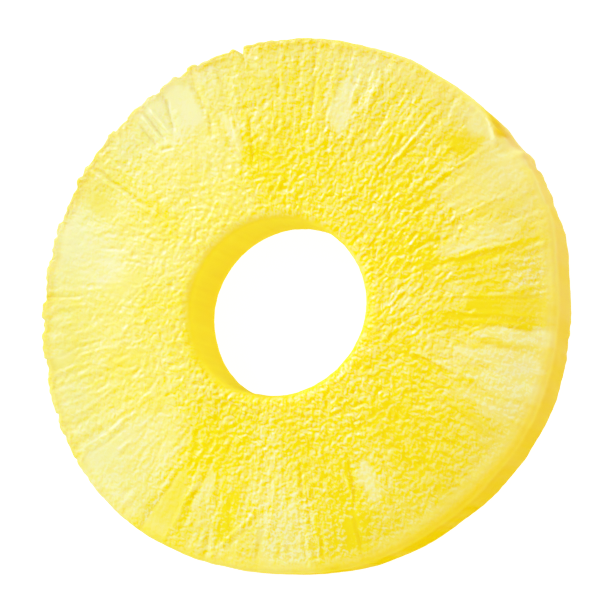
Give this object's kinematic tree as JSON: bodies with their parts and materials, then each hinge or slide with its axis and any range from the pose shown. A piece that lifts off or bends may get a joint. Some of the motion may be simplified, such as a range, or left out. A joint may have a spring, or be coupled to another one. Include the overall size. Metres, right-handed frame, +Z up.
{
  "type": "pineapple ring",
  "caption": "Round slice of peeled and cored pineapple flesh, with two flat cut faces, an uneven outer wall and a round core hole.",
  "frame": {"origin": "on the table, in the middle of the box round the outline, under the lower cut face", "axes": "+Z up, out of the upper cut face; +X towards the side where the camera of the picture stood, +Y towards the nicked edge"},
  "size_m": [0.0802, 0.0792, 0.011],
  "materials": {
    "fruit_flesh": "wet, slightly translucent fruit flesh, deep yellow at the core and paler at the rim"
  },
  "bodies": {
    "root": {"pineapple_ring": "fruit_flesh"}
  },
  "joints": []
}
